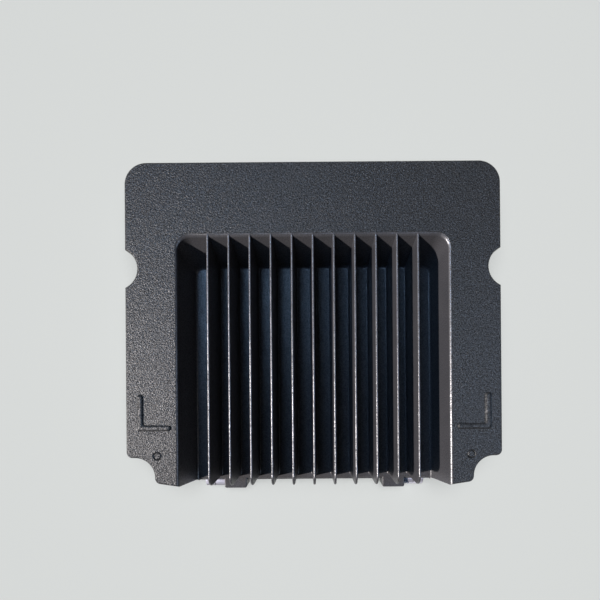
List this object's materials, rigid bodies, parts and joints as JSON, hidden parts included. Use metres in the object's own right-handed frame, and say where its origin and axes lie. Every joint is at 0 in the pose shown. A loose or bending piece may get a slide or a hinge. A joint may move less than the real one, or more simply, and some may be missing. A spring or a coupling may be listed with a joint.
{
  "type": "micro inverter",
  "caption": "Flat black die-cast power converter for solar panels, with an open bay of cooling fins in its front, a sealed back cover and sockets along one edge.",
  "frame": {"origin": "on the plane the inverter rests on, under the middle of its bounding box", "axes": "+Z out of the finned front, away from the back cover; +Y towards the edge that carries the sockets; +X to the right when the fins face the viewer and the sockets are up"},
  "size_m": [0.2524, 0.2384, 0.0433],
  "materials": {
    "cast_black": "die-cast with a black grainy powder coat",
    "cover_sheet": "satin rolled sheet",
    "seal_rubber": "matte",
    "screw_steel": "zinc plated",
    "bright_steel": "polished stainless",
    "socket_plastic": "fine moulded texture",
    "contact_tin": "tin plated",
    "lock_ring_plastic": "moulded, fluted",
    "lens_clear": "clear moulded",
    "board_green": "solder mask",
    "capacitor_sleeve": "shrink sleeve",
    "ferrite": "sintered",
    "winding_tape": "amber tape over copper",
    "copper_wire": "enamelled wire",
    "case_plastic": "moulded case",
    "film_box": "potted box",
    "thermal_pad": "soft pad",
    "shield_can": "tinned sheet"
  },
  "bodies": {
    "inverter": {"ac_contact_1": "contact_tin", "ac_contact_2": "contact_tin", "ac_contact_3": "contact_tin", "ac_nut": "socket_plastic", "ac_socket": "socket_plastic", "back_cover": "cover_sheet", "board_screw_1": "screw_steel", "board_screw_2": "screw_steel", "board_screw_3": "screw_steel", "board_screw_4": "screw_steel", "control_module": "shield_can", "cover_screw_1": "screw_steel", "cover_screw_2": "screw_steel", "cover_screw_3": "screw_steel", "cover_screw_4": "screw_steel", "cover_screw_5": "screw_steel", "cover_screw_6": "screw_steel", "cover_screw_7": "screw_steel", "cover_screw_8": "screw_steel", "cover_seal": "seal_rubber", "dc_capacitor_1": "capacitor_sleeve", "dc_capacitor_2": "capacitor_sleeve", "dc_capacitor_3": "capacitor_sleeve", "dc_capacitor_4": "capacitor_sleeve", "dc_contact_1": "contact_tin", "dc_contact_2": "contact_tin", "dc_contact_3": "contact_tin", "dc_contact_4": "contact_tin", "dc_nut_1": "socket_plastic", "dc_nut_2": "socket_plastic", "dc_nut_3": "socket_plastic", "dc_nut_4": "socket_plastic", "dc_socket_1": "socket_plastic", "dc_socket_2": "socket_plastic", "dc_socket_3": "socket_plastic", "dc_socket_4": "socket_plastic", "earth_screw": "screw_steel", "earth_washer": "screw_steel", "film_capacitor": "film_box", "heatsink_housing": "cast_black", "lug_bolt_left": "bright_steel", "lug_bolt_right": "bright_steel", "lug_sleeve_left": "bright_steel", "lug_sleeve_right": "bright_steel", "main_board": "board_green", "output_choke": "copper_wire", "relay_1": "case_plastic", "relay_2": "case_plastic", "status_light": "lens_clear", "switch_module_1": "case_plastic", "switch_module_2": "case_plastic", "thermal_pad": "thermal_pad", "transformer_core_1": "ferrite", "transformer_core_2": "ferrite", "transformer_winding_1": "winding_tape", "transformer_winding_2": "winding_tape", "vent_plug": "socket_plastic"},
    "lock_ring": {"ac_lock_ring": "lock_ring_plastic"}
  },
  "joints": [
    {"name": "ac_lock_turn", "type": "hinge", "parent": "inverter", "child": "lock_ring", "pos_m": [0.062, 0.10775, 0.0115], "axis": [0, 1, 0], "range_deg": [0, 60]}
  ]
}
